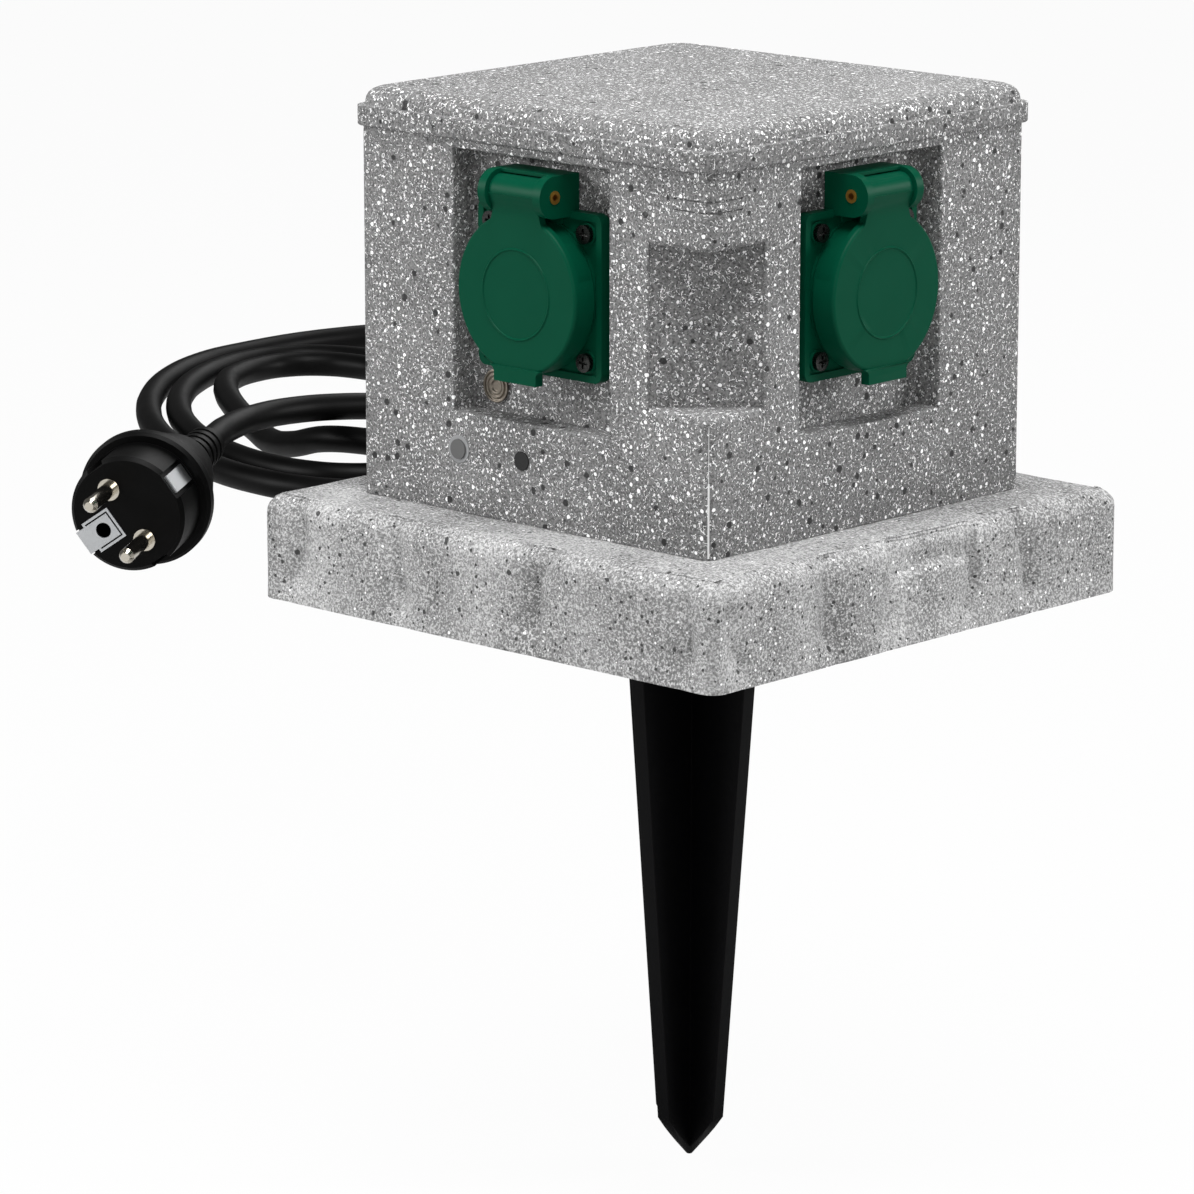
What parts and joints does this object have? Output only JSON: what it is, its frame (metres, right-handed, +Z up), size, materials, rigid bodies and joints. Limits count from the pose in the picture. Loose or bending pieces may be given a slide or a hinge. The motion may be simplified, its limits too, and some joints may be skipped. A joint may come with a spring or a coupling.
{
  "type": "garden socket",
  "caption": "Square stone-look garden power station on a slab with a ground spike, lidded green sockets, corner hand grips and a rubber lead with an earthed plug.",
  "frame": {"origin": "on the ground, at the middle of the slab's underside", "axes": "+Z up; -Y faces the side with the push button and sensor window, +X is the next side to the right, -X the side with the gland"},
  "size_m": [0.4664, 0.3744, 0.337],
  "materials": {
    "stone_grey": "stone-look moulding, mid grey with pale and dark chips",
    "stone_light": "stone-look moulding, light grey with pale and dark chips",
    "green_plastic": "satin moulded dark green",
    "black_plastic": "satin moulded black",
    "black_rubber": "matt rubber",
    "seal_rubber": "soft seal rubber",
    "steel": "zinc plated",
    "brass": "bare brass",
    "pin_nickel": "nickel plated pins",
    "grey_plastic": "grey button cap",
    "white_plastic": "pale moulded ring",
    "dark_window": "dark clear sensor window",
    "board_green": "lacquered circuit board",
    "relay_blue": "moulded relay case",
    "ivory_plastic": "moulded terminal block",
    "wire_brown": "wire insulation"
  },
  "bodies": {
    "station": {"base_slab": "stone_light", "bottom_plate": "black_plastic", "bottom_screws": "steel", "housing": "stone_grey", "cap": "stone_grey", "cap_seal": "seal_rubber", "body_screws": "steel", "ground_spike": "black_plastic", "spike_washer": "steel", "spike_nut": "brass", "socket_0": "green_plastic", "socket_1": "green_plastic", "socket_2": "green_plastic", "socket_3": "green_plastic", "hinge_pin_0": "brass", "hinge_pin_1": "brass", "hinge_pin_2": "brass", "hinge_pin_3": "brass", "lid_spring_0": "steel", "lid_spring_1": "steel", "lid_spring_2": "steel", "lid_spring_3": "steel", "contacts_0": "brass", "contacts_1": "brass", "contacts_2": "brass", "contacts_3": "brass", "earth_clips_0": "steel", "earth_clips_1": "steel", "earth_clips_2": "steel", "earth_clips_3": "steel", "flange_gaskets": "seal_rubber", "flange_screws": "steel", "button_ring": "white_plastic", "sensor_window": "dark_window", "control_board": "board_green", "relay": "relay_blue", "recess_screw": "steel", "cable_gland": "black_plastic", "gland_nut": "black_plastic", "gland_locknut": "black_plastic", "terminal_block": "ivory_plastic", "supply_wires": "wire_brown", "wiring_loom": "wire_brown", "plug_body": "black_rubber", "plug_pins": "pin_nickel", "plug_earth": "steel", "cord_tail": "black_rubber", "cord_coil": "black_rubber", "cord_lead": "black_rubber"},
    "push_button": {"push_button": "grey_plastic"},
    "lid_0": {"lid_0": "green_plastic", "lid_seal_0": "seal_rubber"},
    "lid_1": {"lid_1": "green_plastic", "lid_seal_1": "seal_rubber"},
    "lid_2": {"lid_2": "green_plastic", "lid_seal_2": "seal_rubber"},
    "lid_3": {"lid_3": "green_plastic", "lid_seal_3": "seal_rubber"}
  },
  "joints": [
    {"name": "lid_0_hinge", "type": "hinge", "parent": "station", "child": "lid_0", "pos_m": [0, -0.0737, 0.1322], "axis": [-1, 0, 0], "range_deg": [0, 110], "stiffness_Nm_per_rad": 0.012, "springref_deg": -68.75},
    {"name": "lid_1_hinge", "type": "hinge", "parent": "station", "child": "lid_1", "pos_m": [0.0737, 0, 0.1322], "axis": [0, -1, 0], "range_deg": [0, 110], "stiffness_Nm_per_rad": 0.012, "springref_deg": -68.75},
    {"name": "lid_2_hinge", "type": "hinge", "parent": "station", "child": "lid_2", "pos_m": [0, 0.0737, 0.1322], "axis": [1, 0, 0], "range_deg": [0, 110], "stiffness_Nm_per_rad": 0.012, "springref_deg": -68.75},
    {"name": "lid_3_hinge", "type": "hinge", "parent": "station", "child": "lid_3", "pos_m": [-0.0737, 0, 0.1322], "axis": [0, 1, 0], "range_deg": [0, 110], "stiffness_Nm_per_rad": 0.012, "springref_deg": -68.75},
    {"name": "push_button_slide", "type": "slide", "parent": "station", "child": "push_button", "axis": [0, 1, 0], "range_m": [0, 0.001], "stiffness_N_per_m": 350, "springref_m": -0.0006}
  ]
}
